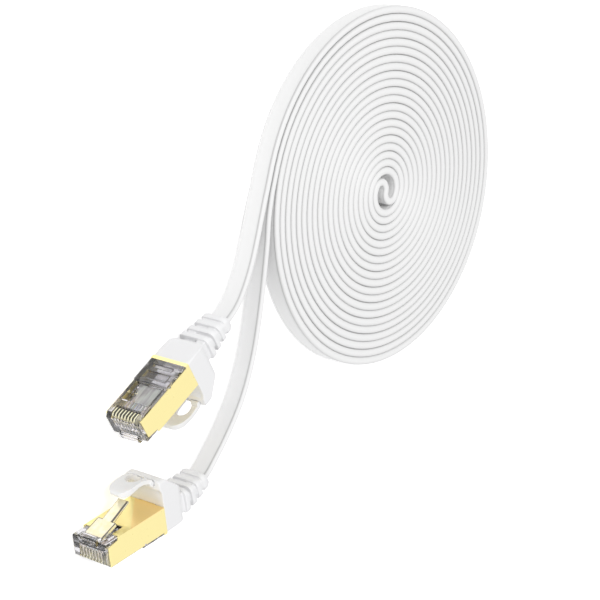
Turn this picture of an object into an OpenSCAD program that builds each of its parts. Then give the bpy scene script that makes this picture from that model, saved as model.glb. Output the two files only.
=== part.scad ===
// Flat patch cable with two shielded eight-contact modular plugs.
// It lies on a surface at z = 0: the cable stands on its edge in a flat double-wound coil,
// the coil's centre is the origin, and each plug stands on its narrow side beside the coil.

/* [Cable] */
// Width of the flat cable
cable_w = 6.0; // [5.4:0.1:6.4]
// Thickness of the flat cable
cable_t = 1.75; // [1.5:0.05:1.75]
// Depth of the crown along the cable's edges
crown_h = 0.7; // [0.4:0.05:0.9]
// Spacing of neighbouring turns of the coil, centre to centre
turn_pitch = 2.2; // [2.18:0.02:2.3]
// Turns of the strand that runs to plug A
turns_a = 10.5; // [8.5:1:11.5]
// Turns of the strand that runs to plug B
turns_b = 10; // [8:1:11]
// Radius at which the two strands meet the S-bend
eye_r = 4.65; // [4.6:0.05:5.2]
// Direction from the coil's centre to the place where both strands leave it
exit_angle = 173.4; // [170:0.2:178]

/* [Plug] */
// Width of the plug across its eight contacts
plug_w = 11.68; // [11.5:0.02:11.7]
// Height of the plug between its latch face and its contact face
plug_h = 6.6; // [6.5:0.05:6.7]
// Length of the plug that shows in front of the boot
plug_l = 20.5; // [20.1:0.1:22]
// Thickness of the shield's sheet
shield_t = 0.3; // [0.2:0.02:0.34]
// Clearance between the shield and the housing
shield_gap = 0.05; // [0.03:0.01:0.08]
// Height by which the rear of the housing stands over the shield's edges
step_h = 0.65; // [0.45:0.05:0.9]
// Distance of the step behind the nose
step_x = 12.2; // [11.8:0.1:12.8]
// Spacing of the contacts
contact_pitch = 1.02; // [1.0:0.01:1.03]
// Thickness of a contact blade
blade_t = 0.35; // [0.25:0.01:0.38]
// Width of the slot that holds a blade
slot_w = 0.6; // [0.5:0.02:0.66]
// Length of a contact blade
blade_l = 2.3; // [2:0.1:2.6]

/* [Latch] */
// Width of the latch between its root and its shoulders
latch_w = 6.1; // [5.8:0.05:6.2]
// Width of the latch's handle
handle_w = 3.25; // [3:0.05:3.3]
// Thickness of the latch
latch_t = 1.1; // [0.9:0.05:1.2]
// Angle at which the latch's tongue stands off the plug
latch_rise = 18; // [16:0.5:19]
// Angle at which its handle stands off the plug
handle_rise = 25; // [23:0.5:26]
// Distance of the shoulders behind the nose
shoulder_x = 7.0; // [6.5:0.1:7.1]
// Distance of the handle's end behind the nose
handle_end_x = 13.2; // [12.5:0.1:13.3]

/* [Boot] */
// Length of the boot's solid block
boot_l = 7.4; // [7:0.1:8.4]
// Height of the boot's hood over the latch face
hood_h = 7.4; // [7:0.1:7.5]
// Height of the hood over the latch face at its rear
hood_rear_h = 2.6; // [2:0.1:3]
// Number of strain-relief ribs
rib_count = 4; // [2:1:4]
// Spacing of the ribs
rib_pitch = 2.6; // [2.4:0.1:2.8]
// Thickness of a rib
rib_t = 1.35; // [1:0.05:1.5]
// Width of the first rib
rib_w = 9.8; // [9:0.1:10.6]
// Height of the first rib
rib_h = 6.6; // [6.2:0.1:7.2]
// Bend of the ribbed sleeve of plug B, towards its latch
bend_b = 20; // [10:1:26]

/* [Latch guard] */
// Width of the guard's thumb pad
pad_w = 6.8; // [6.5:0.1:7.2]
// Width of the guard's neck
neck_w = 6.9; // [6.6:0.1:7.1]
// Width of the line that the guard bends along
flex_w = 7.8; // [7.2:0.1:8.2]
// Thickness of the guard's bowed neck
guard_t = 1.1; // [1:0.05:1.2]
// Thickness of the thumb pad
pad_t = 1.6; // [1.4:0.05:1.7]
// Distance of the pad's tip behind the nose
pad_tip_x = 10.3; // [10.1:0.1:10.6]
// Height of the bow over the hood
bow_h = 1; // [0.9:0.05:1.1]
// Length of the opening through the neck
opening_l = 5.2; // [4.8:0.1:5.4]
// Width of the opening through the neck
opening_w = 3.8; // [3.4:0.1:4]

/* [Hidden] */

// Where each plug lies: its nose on its own axis, and the direction from there to its cable.
nose_a = [-93.6, -59.0];
nose_b = [-101.4, -88.3];
back_a = 41;
back_b = 19.5;

// Middle of the cable from the coil to each boot. The coil's end and the boot's end close the routes.
route_a = [
  [-51.7, -3, 3.08],
  [-52.6, -8, 3.35],
  [-53.7, -13, 3.8],
  [-55.2, -18.5, 4.35],
  [-57.4, -24, 5.0],
  [-60.4, -29.4, 5.6]
];
route_b = [
  [-49.2, -3, 3.02],
  [-49.3, -8, 3.1],
  [-48.9, -14, 3.25],
  [-48.8, -21, 3.45],
  [-48.9, -28, 3.7],
  [-49.3, -35, 4.0],
  [-50.2, -42, 4.4],
  [-51.8, -49, 4.8],
  [-54.2, -55.6, 5.2],
  [-57.6, -62, 5.55],
  [-61.6, -68.3, 5.8]
];

// A plug's own axes: x from the nose to the cable, y across the contacts, z towards the latch.
half_w = plug_w / 2;
latch_z = plug_h / 2;
inner_w = plug_w - 2 * (shield_t + shield_gap);
body_top = latch_z - shield_t - shield_gap;
contact_face = -latch_z - 0.3;
block_face = -latch_z - step_h;
nose_bevel = 1.1;
block_rear = plug_l - 1.1;
housing_rear = plug_l - 0.6;

blade_x = 0.7;
blade_crown = contact_face + 0.25;
tine_low = -0.75;
slot_rear = blade_x + blade_l + 0.15;

wire_d = 0.58;
wire_gap = 0.05;
wire_sides = 8;
wire_z = 0.35;
wire_start = 1.4;
channel_h = wire_d + 2 * wire_gap;
cavity_x = 8.9;
bar_x = cavity_x + 0.2;
bar_l = 2.6;
cavity_w = inner_w - 1.5;
cavity_low = -2.0;
cavity_high = 2.1;
pair_pitch = 1.36;
twin_pitch = wire_d + 0.05;
foil_t = 0.035;
foil_x = 13.8;
jacket_x = 15.5;

knuckle_r = latch_t / 2;
latch_hinge_x = 1.7;
latch_hinge_z = body_top - 0.1;
root_front = -0.6;
root_top = latch_z + 0.5;
seat_gap = 0.06;
recess_low = latch_hinge_z - knuckle_r - 0.4;

boot_end = plug_l + boot_l;
sleeve_l = rib_count * rib_pitch + 0.6;
sleeve_w = cable_w + 1.7;
sleeve_h = cable_t + 1.9;
bend_a = 0;
mould_w = 9.6;
mould_low = -2.9;
mould_high = latch_z;
mould_end = boot_end - 0.9;
crimp_x = plug_l + 1.6;
crimp_l = 3;
crimp_gap = 0.04;
jacket_gap = 0.03;

guard_knuckle = 0.75;
hood_top = latch_z + hood_h;
guard_hinge_x = plug_l - 1.1;
guard_hinge_z = hood_top - 0.15 - guard_knuckle;
guard_gap = 0.1;
bow_x = guard_hinge_x - 3.4;
bow_top = hood_top + bow_h;
bow_rear_r = 8;
bow_front_r = 20;
opening_x = guard_hinge_x - 1.8;
dish_r = 3.7;
hood_round = 1.3;
tail_round = 2;

// ---------------------------------------------------------------- shapes used by several pieces

// Points of an arc about c, from angle a to angle b
function arc(c, r, a, b, n) = [
  for (i = [0:n])
    c + r * [cos(a + (b - a) * i / n), sin(a + (b - a) * i / n)]
];

// Outline of a rectangle between two corners, with round corners
function round_rect(low, high, r, n = 4) = concat(
  arc([low.x + r, low.y + r], r, 180, 270, n),
  arc([high.x - r, low.y + r], r, 270, 360, n),
  arc([high.x - r, high.y - r], r, 0, 90, n),
  arc([low.x + r, high.y - r], r, 90, 180, n)
);

// A side view, drawn in x and z, made w wide across y
module across(w) {
  rotate([90, 0, 0])
    translate([0, 0, -w / 2])
      linear_extrude(w)
        children();
}

// A front view, drawn in y and z, made from x = from to x = to
module along(from, to) {
  translate([from, 0, 0])
    rotate([90, 0, 90])
      linear_extrude(to - from)
        children();
}

// A box from its lowest to its highest corner
module block(low, high) {
  translate(low)
    cube(high - low);
}

// A front view carried from the boot's block to the end of its sleeve, with the sleeve's bend
module along_sleeve(from, to, bend) {
  if (bend == 0) {
    along(boot_end + from, boot_end + to)
      children();
  } else {
    radius = sleeve_l * 180 / (PI * bend);
    translate([boot_end, 0, radius])
      rotate([90, 0, 0])
        rotate([0, 0, -90 + bend * from / sleeve_l])
          rotate_extrude(angle = bend * (to - from) / sleeve_l, $fn = 96)
            translate([radius, 0])
              rotate([0, 0, 90])
                children();
  }
}

// Where the sleeve ends, in the plug's x and z, for a bend
function sleeve_end(bend) =
  bend == 0
    ? [boot_end + sleeve_l, 0]
    : let (radius = sleeve_l * 180 / (PI * bend))
      [boot_end + radius * sin(bend), radius * (1 - cos(bend))];

// A plug's x and z as a place on the surface
function on_plug(nose, back, side, p) =
  nose + p.x * [cos(back), sin(back)] + side * p.y * [sin(back), -cos(back)];

module at_plug_a() {
  translate([nose_a.x, nose_a.y, half_w])
    rotate([90, 0, back_a])
      children();
}

module at_plug_b() {
  translate([nose_b.x, nose_b.y, half_w])
    rotate([-90, 0, back_b])
      children();
}

// ---------------------------------------------------------------- cable

loop_rings = 24;
step = 360 / loop_rings;
radius_a = eye_r + 2 * turn_pitch * turns_a;
radius_b = eye_r + 2 * turn_pitch * turns_b;

// One ring of the coil as [middle, direction across the cable's thickness]
function ring(c, r, angle, side) = [
  c + r * [cos(angle), sin(angle)],
  side * [cos(angle), sin(angle)]
];

// Both strands wind the same way round; the S-bend is two half circles through the centre.
rings_a = [
  for (i = [0:turns_a * loop_rings])
    ring([0, 0], radius_a - turn_pitch * i * step / 180, exit_angle - i * step, 1)
];
bend_angle = exit_angle - turns_a * 360;
bend_middle = eye_r / 2 * [cos(bend_angle), sin(bend_angle)];
rings_s = concat(
  [for (i = [1:loop_rings / 2]) ring(bend_middle, eye_r / 2, bend_angle - i * step, 1)],
  [for (i = [1:loop_rings / 2 - 1]) ring(-bend_middle, eye_r / 2, bend_angle + i * step, -1)]
);
rings_b = [
  for (i = [0:turns_b * loop_rings])
    ring([0, 0], eye_r + turn_pitch * i * step / 180, bend_angle + 180 + i * step, -1)
];

// Each end runs straight for one width of the cable before its free stretch begins.
exit_side = [cos(exit_angle), sin(exit_angle)];
exit_heading = [-sin(exit_angle), cos(exit_angle)];
end_a = radius_a * exit_side + cable_w * exit_heading;
end_b = radius_b * exit_side + cable_w * exit_heading;
coil_rings = concat([[end_a, exit_side]], rings_a, rings_s, rings_b, [[end_b, -exit_side]]);

// Section of the coiled cable: across its thickness, and up from the surface that it stands on
half_t = cable_t / 2;
coil_section = [
  [-half_t, 0], [half_t, 0],
  [half_t, cable_w - crown_h], [half_t * 0.45, cable_w],
  [-half_t * 0.45, cable_w], [-half_t, cable_w - crown_h]
];

// Section of a free stretch, about its own middle
tail_section = [
  [-half_t, crown_h - cable_w / 2], [-half_t * 0.45, -cable_w / 2],
  [half_t * 0.45, -cable_w / 2], [half_t, crown_h - cable_w / 2],
  [half_t, cable_w / 2 - crown_h], [half_t * 0.45, cable_w / 2],
  [-half_t * 0.45, cable_w / 2], [-half_t, cable_w / 2 - crown_h]
];

// One closed skin over rings of points, as triangles
module skin(points, sides) {
  count = len(points) / sides;
  walls = [
    for (i = [0:count - 2])
      for (j = [0:sides - 1])
        let (a = i * sides + j, b = i * sides + (j + 1) % sides)
          each [[a, b + sides, b], [a, a + sides, b + sides]]
  ];
  last = (count - 1) * sides;
  first_cap = [for (j = [1:sides - 2]) [0, j, j + 1]];
  last_cap = [for (j = [1:sides - 2]) [last, last + j + 1, last + j]];
  polyhedron(points, concat(walls, first_cap, last_cap), convexity = 20);
}

// Least distance between two stretches of the coil's skin, on the sides of its rings
function side_points(rings) = [
  for (i = [0:len(rings) - 1])
    for (side = [-1, 1])
      [rings[i][0] + side * half_t * rings[i][1], i]
];
function least_gap(rings) =
  let (marks = side_points(rings))
    min([
      for (m = marks)
        min([for (o = marks) if (abs(m[1] - o[1]) > 8) norm(m[0] - o[0])])
    ]);

module cable_coil() {
  echo("least gap in the coil, mm", least_gap(coil_rings));
  color("white")
    skin([
      for (r = coil_rings)
        for (p = coil_section)
          [each (r[0] + p.x * r[1]), p.y]
    ], len(coil_section));
}

// Direction of a route at one of its points, in plan
function heading(route, i) =
  let (
    before = route[max(i - 1, 0)],
    after = route[min(i + 1, len(route) - 1)],
    d = [after.x - before.x, after.y - before.y]
  )
    d / norm(d);

// A free stretch, from the coil's own end to the boot
module tail(route, first, last) {
  headings = [
    for (i = [0:len(route) - 1])
      i == 0 ? first : i == len(route) - 1 ? last : heading(route, i)
  ];
  skin([
    for (i = [0:len(route) - 1])
      for (p = tail_section)
        [route[i].x + p.x * headings[i].y, route[i].y - p.x * headings[i].x, route[i].z + p.y]
  ], len(tail_section));
}

module cable_tail_a() {
  finish = on_plug(nose_a, back_a, 1, sleeve_end(bend_a));
  color("white")
    tail(
      concat([[end_a.x, end_a.y, cable_w / 2]], route_a, [[finish.x, finish.y, half_w]]),
      exit_heading,
      -[cos(back_a + bend_a), sin(back_a + bend_a)]
    );
}

module cable_tail_b() {
  finish = on_plug(nose_b, back_b, -1, sleeve_end(bend_b));
  color("white")
    tail(
      concat([[end_b.x, end_b.y, cable_w / 2]], route_b, [[finish.x, finish.y, half_w]]),
      exit_heading,
      -[cos(back_b + bend_b), sin(back_b + bend_b)]
    );
}

// The end of the cable that the plug holds: it runs from the stripped pairs through the boot.
module jacket_end(bend) {
  outline = round_rect([-cable_w / 2, -half_t], [cable_w / 2, half_t], half_t - 0.15);
  color("white") {
    along(jacket_x, boot_end)
      polygon(outline);
    along_sleeve(0, sleeve_l, bend)
      polygon(outline);
  }
}

// ---------------------------------------------------------------- inside the plug

// Place across the plug of contact 1 to 8
function contact_y(i) = (i - 4.5) * contact_pitch;

// Place of a wire in the cable: pairs lie side by side, two wires in each
function pair_y(pair) = (pair - 1.5) * pair_pitch;

// One contact blade: a crown for the jack's spring wire, and two tines that pierce a wire
module blade() {
  across(blade_t)
    polygon([
      [blade_x, blade_crown + 1],
      each arc([blade_x + 0.7, blade_crown + 0.7], 0.7, 180, 270, 3),
      each arc([blade_x + blade_l - 0.3, blade_crown + 0.3], 0.3, 270, 360, 2),
      [blade_x + blade_l, tine_low],
      [blade_x + blade_l - 0.25, wire_z - wire_d / 2 - 0.02],
      [blade_x + blade_l - 0.5, tine_low],
      [blade_x + 1.15, tine_low],
      [blade_x + 0.9, wire_z - wire_d / 2 - 0.02],
      [blade_x + 0.65, tine_low]
    ]);
}

module contacts() {
  color("gold")
    for (i = [1:8])
      translate([0, contact_y(i), 0])
        blade();
}

module load_bar() {
  color([0.85, 0.88, 0.9, 0.6])
    difference() {
      across(cavity_w - 0.2)
        polygon([
          [bar_x, cavity_low + 0.05], [bar_x + bar_l, cavity_low + 0.05], [bar_x + bar_l, 1.4],
          [bar_x + bar_l - 0.9, cavity_high - 0.05], [bar_x, cavity_high - 0.05]
        ]);
      for (i = [1:8])
        translate([bar_x - 1, contact_y(i), wire_z])
          rotate([0, 90, 0])
            cylinder(h = bar_l + 2, d = wire_d + 2 * wire_gap, $fn = 12);
    }
}

// One insulated wire through a list of points, each ring square to the wire
module wire(points) {
  last = len(points) - 1;
  skin([
    for (i = [0:last])
      let (
        d = points[min(i + 1, last)] - points[max(i - 1, 0)],
        along_wire = d / norm(d),
        across_wire = cross([0, 0, 1], along_wire) / norm(cross([0, 0, 1], along_wire)),
        up_wire = cross(along_wire, across_wire)
      )
        for (j = [0:wire_sides - 1])
          let (a = (j + 0.5) * 360 / wire_sides)
            points[i] + wire_d / 2 * (cos(a) * across_wire + sin(a) * up_wire)
  ], wire_sides);
}

// A wire from its contact to its place in the cable; over is how far it lifts to cross others
module routed_wire(contact, pair, twin, over = 0) {
  from = contact_y(contact);
  to = pair_y(pair) + twin * twin_pitch / 2;
  leave = bar_x + bar_l + 0.1;
  meet = foil_x - 0.1;
  fan = [for (t = [0:0.125:1]) [
    leave + t * (meet - leave),
    from + (to - from) * (1 - cos(180 * t)) / 2,
    wire_z * (1 - t) + over * sin(180 * t)
  ]];
  wire(concat([[wire_start, from, wire_z]], fan, [[jacket_x, to, 0]]));
}

module wires_orange() {
  color("orange") {
    routed_wire(1, 0, -1);
    routed_wire(2, 0, 1);
  }
}

// The green pair straddles the blue one at the contacts, so contact 6's wire crosses over it.
module wires_green() {
  color("green") {
    routed_wire(3, 1, -1);
    routed_wire(6, 1, 1, 0.95);
  }
}

module wires_blue() {
  color("royalblue") {
    routed_wire(4, 2, -1);
    routed_wire(5, 2, 1);
  }
}

module wires_brown() {
  color("saddlebrown") {
    routed_wire(7, 3, -1);
    routed_wire(8, 3, 1);
  }
}

// A foil wrap round each pair, cut back just in front of the jacket
module pair_foils() {
  inner = [twin_pitch / 2 + wire_d / 2, wire_d / 2] + 0.015 * [1, 1];
  outer = inner + foil_t * [1, 1];
  color("silver")
    for (pair = [0:3])
      translate([0, pair_y(pair), 0])
        along(foil_x, jacket_x - 0.05)
          difference() {
            polygon(round_rect(-outer, outer, outer.y - 0.001, 3));
            polygon(round_rect(-inner, inner, inner.y - 0.001, 3));
          }
}

// ---------------------------------------------------------------- housing and latch

// Side view of the housing: bevelled nose, contact face, step and raised rear block
module housing_side() {
  polygon([
    [0, contact_face + nose_bevel],
    [nose_bevel, contact_face],
    [step_x - 0.3, contact_face],
    [step_x, block_face],
    [block_rear, block_face],
    [block_rear, -latch_z + shield_t],
    [housing_rear, -latch_z + shield_t],
    [housing_rear, body_top],
    [0.3, body_top],
    [0, body_top - 0.3]
  ]);
}

// Root that holds the latch at the nose
module latch_root() {
  across(latch_w)
    polygon([
      [0.2, latch_z - 1.9],
      [root_front + 0.3, latch_z - 1.5],
      [root_front, latch_z - 1],
      each arc([root_front + 0.5, root_top - 0.5], 0.5, 180, 90, 4),
      [latch_hinge_x, root_top],
      [latch_hinge_x + 0.5, latch_z - 1.9]
    ]);
}

// Room under the latch, and round the knuckle that it turns on
module latch_recess() {
  translate([latch_hinge_x, 0, latch_hinge_z])
    rotate([90, 0, 0])
      cylinder(r = knuckle_r + seat_gap, h = latch_w + 0.3, center = true, $fn = 32);
  across(latch_w + 0.3)
    polygon([
      [latch_hinge_x, latch_hinge_z],
      [latch_hinge_x - 0.75, latch_hinge_z + 2],
      [handle_end_x, latch_hinge_z + 2],
      [shoulder_x + 1.5, body_top],
      [shoulder_x + 1.1, recess_low],
      [latch_hinge_x + 0.7, recess_low],
      [latch_hinge_x, latch_hinge_z - knuckle_r - seat_gap]
    ]);
}

module housing() {
  slot_side = [
    [-1, contact_face - 1], [slot_rear, contact_face - 1], [slot_rear, wire_z],
    [blade_x - 0.1, wire_z], [blade_x - 0.1, contact_face + 1.5], [-1, contact_face + 1.5]
  ];
  groove_y = [for (i = [1:8]) contact_y(i)];
  color([0.62, 0.63, 0.65, 0.55])
    difference() {
      union() {
        across(inner_w)
          housing_side();
        latch_root();
      }
      // slots for the blades, open to the contact face and the nose
      for (y = groove_y)
        translate([0, y, 0])
          across(slot_w)
            polygon(slot_side);
      // channel for the eight wires
      block(
        [wire_start - 0.2, -4 * contact_pitch, wire_z - channel_h / 2],
        [cavity_x + 0.1, 4 * contact_pitch, wire_z + channel_h / 2]
      );
      // cavity for the load bar and the jacket, with the bar that grips the jacket left standing
      difference() {
        block([cavity_x, -cavity_w / 2, cavity_low], [plug_l, cavity_w / 2, cavity_high]);
        across(cavity_w + 1)
          polygon([
            [jacket_x + 0.8, cavity_low - 0.5], [jacket_x + 3.2, cavity_low - 0.5],
            [jacket_x + 2.6, -half_t - 0.03], [jacket_x + 1.4, -half_t - 0.03]
          ]);
      }
      // smooth pocket between the blades and the step
      block([5.6, -4.5, contact_face - 1], [step_x - 0.4, 4.5, contact_face + 1.1]);
      // two windows in the raised block
      block([step_x + 1.1, -3.8, block_face - 1], [step_x + 3.5, 3.8, block_face + 0.8]);
      block([step_x + 4.6, -3.2, block_face - 1], [step_x + 5.8, 3.2, block_face + 0.6]);
      latch_recess();
      // grooves in the recess and beside it
      for (y = groove_y)
        block([2.8, y - 0.25, recess_low - 0.3], [4.9, y + 0.25, body_top + 1]);
    }
}

// The latch springs about its root: a wide tongue with two shoulders, then a narrow, steeper handle.
module latch() {
  shoulder = (shoulder_x - latch_hinge_x) / cos(latch_rise);
  kink = handle_rise - latch_rise;
  handle_l = (handle_end_x - shoulder_x) / cos(handle_rise) - knuckle_r;
  reach = shoulder + handle_l + 2;
  tip = [shoulder + handle_l * cos(kink), handle_l * sin(kink)];
  side = [
    [0, -knuckle_r],
    [shoulder + 0.3, -knuckle_r],
    each arc(tip, knuckle_r - 0.1, kink - 90, kink + 90, 6),
    [shoulder, knuckle_r],
    [0, knuckle_r]
  ];
  color([0.85, 0.87, 0.9, 0.55])
    translate([latch_hinge_x, 0, latch_hinge_z])
      rotate([0, -latch_rise, 0]) {
        rotate([90, 0, 0])
          cylinder(r = knuckle_r, h = latch_w, center = true, $fn = 32);
        intersection() {
          across(latch_w)
            polygon(side);
          translate([0, 0, -latch_w / 2])
            linear_extrude(latch_w)
              polygon(both_sides([
                [0, latch_w / 2], [shoulder, latch_w / 2],
                [shoulder, handle_w / 2], [reach, handle_w / 2]
              ]));
        }
      }
}

// ---------------------------------------------------------------- shield

// One folded sheet: latch face, two sides, a band across the contact side and a crimp for the cable
module shield() {
  latch_front = 4.7;
  side_front = 0.8;
  band_front = block_rear + 0.05;
  crimp_w = cable_w + 2 * crimp_gap;
  crimp_h = cable_t + 2 * crimp_gap;
  color([1, 0.93, 0.6])
    union() {
      // latch face, cut back round the latch's tongue
      difference() {
        block([latch_front, -half_w, latch_z - shield_t], [plug_l, half_w, latch_z]);
        block(
          [latch_front - 1, -latch_w / 2 - 0.3, latch_z - 1],
          [shoulder_x + 1.5, latch_w / 2 + 0.3, latch_z + 1]
        );
      }
      // the two sides, notched beside the latch root and at the step
      for (side = [-1, 1])
        translate([0, side * (half_w - shield_t / 2), 0])
          across(shield_t)
            polygon([
              [side_front, -latch_z],
              [step_x + 0.3, -latch_z],
              [step_x + 0.3, -latch_z + 0.35],
              [step_x + 0.9, -latch_z + 0.35],
              [step_x + 0.9, -latch_z],
              [band_front, -latch_z],
              [band_front, block_face],
              [plug_l, block_face],
              [plug_l, latch_z],
              [latch_front - 0.5, latch_z],
              [latch_front - 0.6, latch_z - 0.8],
              [side_front, latch_z - 1.3]
            ]);
      // band across the contact side
      block([band_front, -half_w, block_face], [plug_l, half_w, block_face + shield_t]);
      // strap from the latch face down to the crimp
      across(cable_w - 1)
        polygon([
          [plug_l - 0.1, latch_z - shield_t], [plug_l, latch_z],
          [plug_l + 0.15, latch_z],
          [crimp_x + 0.2, crimp_h / 2 + shield_t], [crimp_x + 0.2, crimp_h / 2],
          [crimp_x - 0.1, crimp_h / 2], [plug_l, latch_z - shield_t]
        ]);
      // crimp round the jacket, open along a seam
      difference() {
        block(
          [crimp_x, -crimp_w / 2 - shield_t, -crimp_h / 2 - shield_t],
          [crimp_x + crimp_l, crimp_w / 2 + shield_t, crimp_h / 2 + shield_t]
        );
        block(
          [crimp_x - 1, -crimp_w / 2, -crimp_h / 2],
          [crimp_x + crimp_l + 1, crimp_w / 2, crimp_h / 2]
        );
        block([crimp_x - 1, -0.25, -crimp_h], [crimp_x + crimp_l + 1, 0.25, 0]);
      }
    }
}

// ---------------------------------------------------------------- boot and latch guard

// Hard moulding that locks the jacket and the crimp together under the boot
module inner_mould() {
  pocket_w = cable_w + 2 * (crimp_gap + shield_t) + 0.1;
  pocket_h = cable_t + 2 * (crimp_gap + shield_t) + 0.1;
  color("gainsboro")
    difference() {
      block([plug_l, -mould_w / 2, mould_low], [mould_end, mould_w / 2, mould_high]);
      // room for the crimp and its strap
      block(
        [plug_l - 1, -pocket_w / 2, -pocket_h / 2],
        [crimp_x + crimp_l + 0.1, pocket_w / 2, pocket_h / 2]
      );
      block([plug_l - 1, 0.1 - cable_w / 2, 0], [crimp_x + 0.3, cable_w / 2 - 0.1, mould_high + 1]);
      // the jacket's own hole
      block(
        [plug_l, -cable_w / 2 - jacket_gap, -half_t - jacket_gap],
        [boot_end, cable_w / 2 + jacket_gap, half_t + jacket_gap]
      );
    }
}

// Side view of the boot's block: flat contact side, hood that falls back to the ribs
module boot_side() {
  rear_top = latch_z + hood_rear_h;
  polygon([
    [plug_l, block_face],
    each arc([boot_end - 0.8, block_face + 1.1], 0.8, 270, 360, 3),
    each arc([boot_end - 1.3, rear_top - 1.1], 1.3, 0, 52, 4),
    each arc([plug_l + 0.9, hood_top - 0.9], 0.9, 50, 90, 3),
    [plug_l - 0.5, hood_top],
    [plug_l - 0.9, guard_hinge_z - guard_knuckle - 0.25],
    each arc([plug_l - 2.2, guard_hinge_z - guard_knuckle - 2.45], 2.2, 60, 0, 4)
  ]);
}

// Plan of the boot and of the guard that grows out of it
function flare(from_w, to_w, from_x, to_x, n) = [
  for (i = [0:n])
    let (t = i / n)
      [from_x + (to_x - from_x) * t, (from_w + (to_w - from_w) * (1 - cos(90 * t))) / 2]
];
function both_sides(half) = concat(
  half,
  [for (i = [len(half) - 1:-1:0]) [half[i].x, -half[i].y]]
);

module boot_plan() {
  polygon(both_sides(concat(
    flare(flex_w, plug_w, plug_l - 1.2, plug_l - 0.6, 5),
    arc([boot_end - tail_round, half_w - tail_round - 0.4], tail_round, 80, 0, 3)
  )));
}

// Front view of the boot's block, with its long edges rounded
module boot_front() {
  polygon(concat(
    arc([half_w - 0.9, block_face + 0.9], 0.9, 270, 360, 3),
    arc([half_w - hood_round, hood_top - hood_round], hood_round, 0, 90, 5),
    arc([hood_round - half_w, hood_top - hood_round], hood_round, 90, 180, 5),
    arc([0.9 - half_w, block_face + 0.9], 0.9, 180, 270, 3)
  ));
}

module boot(bend) {
  color("whitesmoke")
    difference() {
      union() {
        // solid block under the hood
        intersection() {
          across(plug_w)
            boot_side();
          translate([0, 0, -plug_h])
            linear_extrude(hood_top + 2 * plug_h)
              boot_plan();
          along(0, boot_end)
            boot_front();
        }
        // sleeve over the cable
        along_sleeve(-0.3, sleeve_l, bend)
          polygon(round_rect([-sleeve_w / 2, -sleeve_h / 2], [sleeve_w / 2, sleeve_h / 2], 1.2));
        // ribs, each smaller than the last, and the straps that join them on alternate sides
        for (i = [0:rib_count - 1]) {
          w = rib_w - 0.55 * i;
          h = rib_h - 0.6 * i;
          side = i % 2 == 0 ? 1 : -1;
          start = (i + 1) * rib_pitch - rib_t;
          along_sleeve(start, start + rib_t, bend)
            polygon(round_rect([-w / 2, -h / 2], [w / 2, h / 2], 1.6));
          along_sleeve(start - rib_pitch + rib_t - 0.2, start + 0.2, bend)
            translate([side * (w / 2 - 2.2), 0])
              square([2.4, h - 1.2], center = true);
        }
      }
      // pocket for the inner moulding and the jacket's hole
      block([plug_l - 0.01, -mould_w / 2, mould_low], [mould_end, mould_w / 2, mould_high]);
      along(mould_end - 1, boot_end + 0.02)
        square([cable_w, cable_t] + 4 * jacket_gap * [1, 1], center = true);
      along_sleeve(-0.2, sleeve_l + 1, bend)
        square([cable_w, cable_t] + 2 * jacket_gap * [1, 1], center = true);
      // seat of the guard's flex line
      translate([guard_hinge_x, 0, guard_hinge_z])
        rotate([90, 0, 0])
          cylinder(r = guard_knuckle + guard_gap, h = flex_w + 0.4, center = true, $fn = 32);
    }
}

// Plan of the oval opening through the guard's neck
module guard_opening() {
  polygon([for (a = [0:15:345]) [opening_x + opening_l / 2 * cos(a), opening_w / 2 * sin(a)]]);
}

// Bowed guard over the latch: a thumb pad on a neck with an opening, which flexes at the boot
module latch_guard() {
  pad_x = pad_tip_x + pad_w / 2 - 0.2;
  pad_end = bow_x - 3.2;
  tip_z = bow_top - 1.45;
  side = [
    [guard_hinge_x, guard_hinge_z - guard_knuckle],
    [guard_hinge_x + 0.1, guard_hinge_z + guard_knuckle],
    each arc([bow_x, bow_top - bow_rear_r], bow_rear_r, 62, 90, 5),
    each arc([bow_x, bow_top - bow_front_r], bow_front_r, 93, 105, 4),
    each arc([pad_tip_x + pad_t / 2, tip_z], pad_t / 2, 110, 260, 5),
    [pad_end, bow_top - 1.75],
    each arc([bow_x, bow_top - bow_rear_r], bow_rear_r - guard_t, 94, 66, 5)
  ];
  plan = both_sides([
    each arc([pad_x, 0], pad_w / 2, 180, 84, 8),
    [guard_hinge_x - 2.6, neck_w / 2],
    [guard_hinge_x - 1.3, neck_w / 2 + 0.1],
    [guard_hinge_x + 0.5, flex_w / 2]
  ]);
  color("whitesmoke")
    difference() {
      union() {
        intersection() {
          across(plug_w)
            polygon(side);
          linear_extrude(hood_top + plug_h)
            polygon(plan);
        }
        translate([guard_hinge_x, 0, guard_hinge_z])
          rotate([90, 0, 0])
            cylinder(r = guard_knuckle, h = flex_w, center = true, $fn = 32);
      }
      linear_extrude(hood_top + plug_h)
        guard_opening();
      // dished rim of the opening
      translate([opening_x - 0.4, 0, bow_top + dish_r - 0.75])
        sphere(r = dish_r, $fn = 64);
    }
}

// ---------------------------------------------------------------- the two plugs

module plug_a_housing() { at_plug_a() housing(); }
module plug_a_latch() { at_plug_a() latch(); }
module plug_a_contacts() { at_plug_a() contacts(); }
module plug_a_load_bar() { at_plug_a() load_bar(); }
module plug_a_shield() { at_plug_a() shield(); }
module plug_a_wires_orange() { at_plug_a() wires_orange(); }
module plug_a_wires_green() { at_plug_a() wires_green(); }
module plug_a_wires_blue() { at_plug_a() wires_blue(); }
module plug_a_wires_brown() { at_plug_a() wires_brown(); }
module plug_a_pair_foils() { at_plug_a() pair_foils(); }
module plug_a_jacket_end() { at_plug_a() jacket_end(bend_a); }
module plug_a_inner_mould() { at_plug_a() inner_mould(); }
module plug_a_boot() { at_plug_a() boot(bend_a); }
module plug_a_latch_guard() { at_plug_a() latch_guard(); }

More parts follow.
